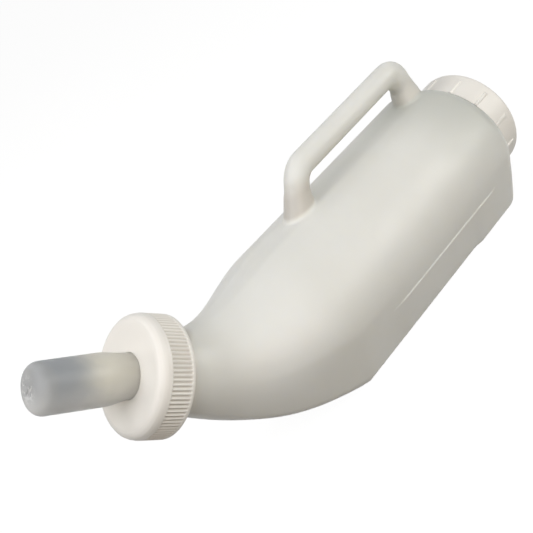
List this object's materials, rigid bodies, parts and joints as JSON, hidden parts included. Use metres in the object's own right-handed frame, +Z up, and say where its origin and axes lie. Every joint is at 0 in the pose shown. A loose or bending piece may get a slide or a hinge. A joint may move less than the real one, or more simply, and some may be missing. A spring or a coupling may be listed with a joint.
{
  "type": "calf milk feeder",
  "caption": "Calf milk feeder: bottle with bent neck, hollow grip handle and flat foot, soft teat in a ribbed screw ring, wide screw fill cap with seal.",
  "frame": {"origin": "on the bottle's flat foot, on the plane of symmetry, 129 mm ahead of the bottle's rear wall", "axes": "+X towards the teat, +Z up from the foot through the grip handle, +Y to the left of the plane of symmetry"},
  "size_m": [0.4635, 0.1334, 0.1838],
  "materials": {
    "bottle_plastic": "milky translucent blow-moulded polyethylene, satin",
    "cap_plastic": "warm white moulded plastic, satin",
    "teat_rubber": "clouded translucent soft rubber, satin",
    "seal_rubber": "matte soft seal"
  },
  "bodies": {
    "bottle": {"bottle": "bottle_plastic"},
    "teat": {"teat": "teat_rubber"},
    "teat_ring": {"teat_ring": "cap_plastic"},
    "fill_cap_seal": {"fill_cap_seal": "seal_rubber"},
    "fill_cap": {"fill_cap": "cap_plastic"}
  },
  "joints": [
    {"name": "teat_lift", "type": "slide", "parent": "bottle", "child": "teat", "axis": [0.7071, 0, 0.7071], "range_m": [0, 0.00601]},
    {"name": "teat_ring_turn", "type": "hinge", "parent": "teat", "child": "teat_ring", "pos_m": [0.235, 0, 0.126], "axis": [0.7071, 0, 0.7071], "range_deg": [0, 540]},
    {"name": "fill_cap_lift", "type": "slide", "parent": "bottle", "child": "fill_cap_seal", "axis": [-1, 0, 0], "range_m": [0, 0.00601]},
    {"name": "fill_cap_turn", "type": "hinge", "parent": "fill_cap_seal", "child": "fill_cap", "pos_m": [-0.1554, 0, 0.06125], "axis": [-1, 0, 0], "range_deg": [0, 540]}
  ],
  "couplings": [
    {"joint": "teat_lift", "follows": "teat_ring_turn", "m_per_rad": 0.00063662},
    {"joint": "fill_cap_lift", "follows": "fill_cap_turn", "m_per_rad": 0.00063662}
  ]
}
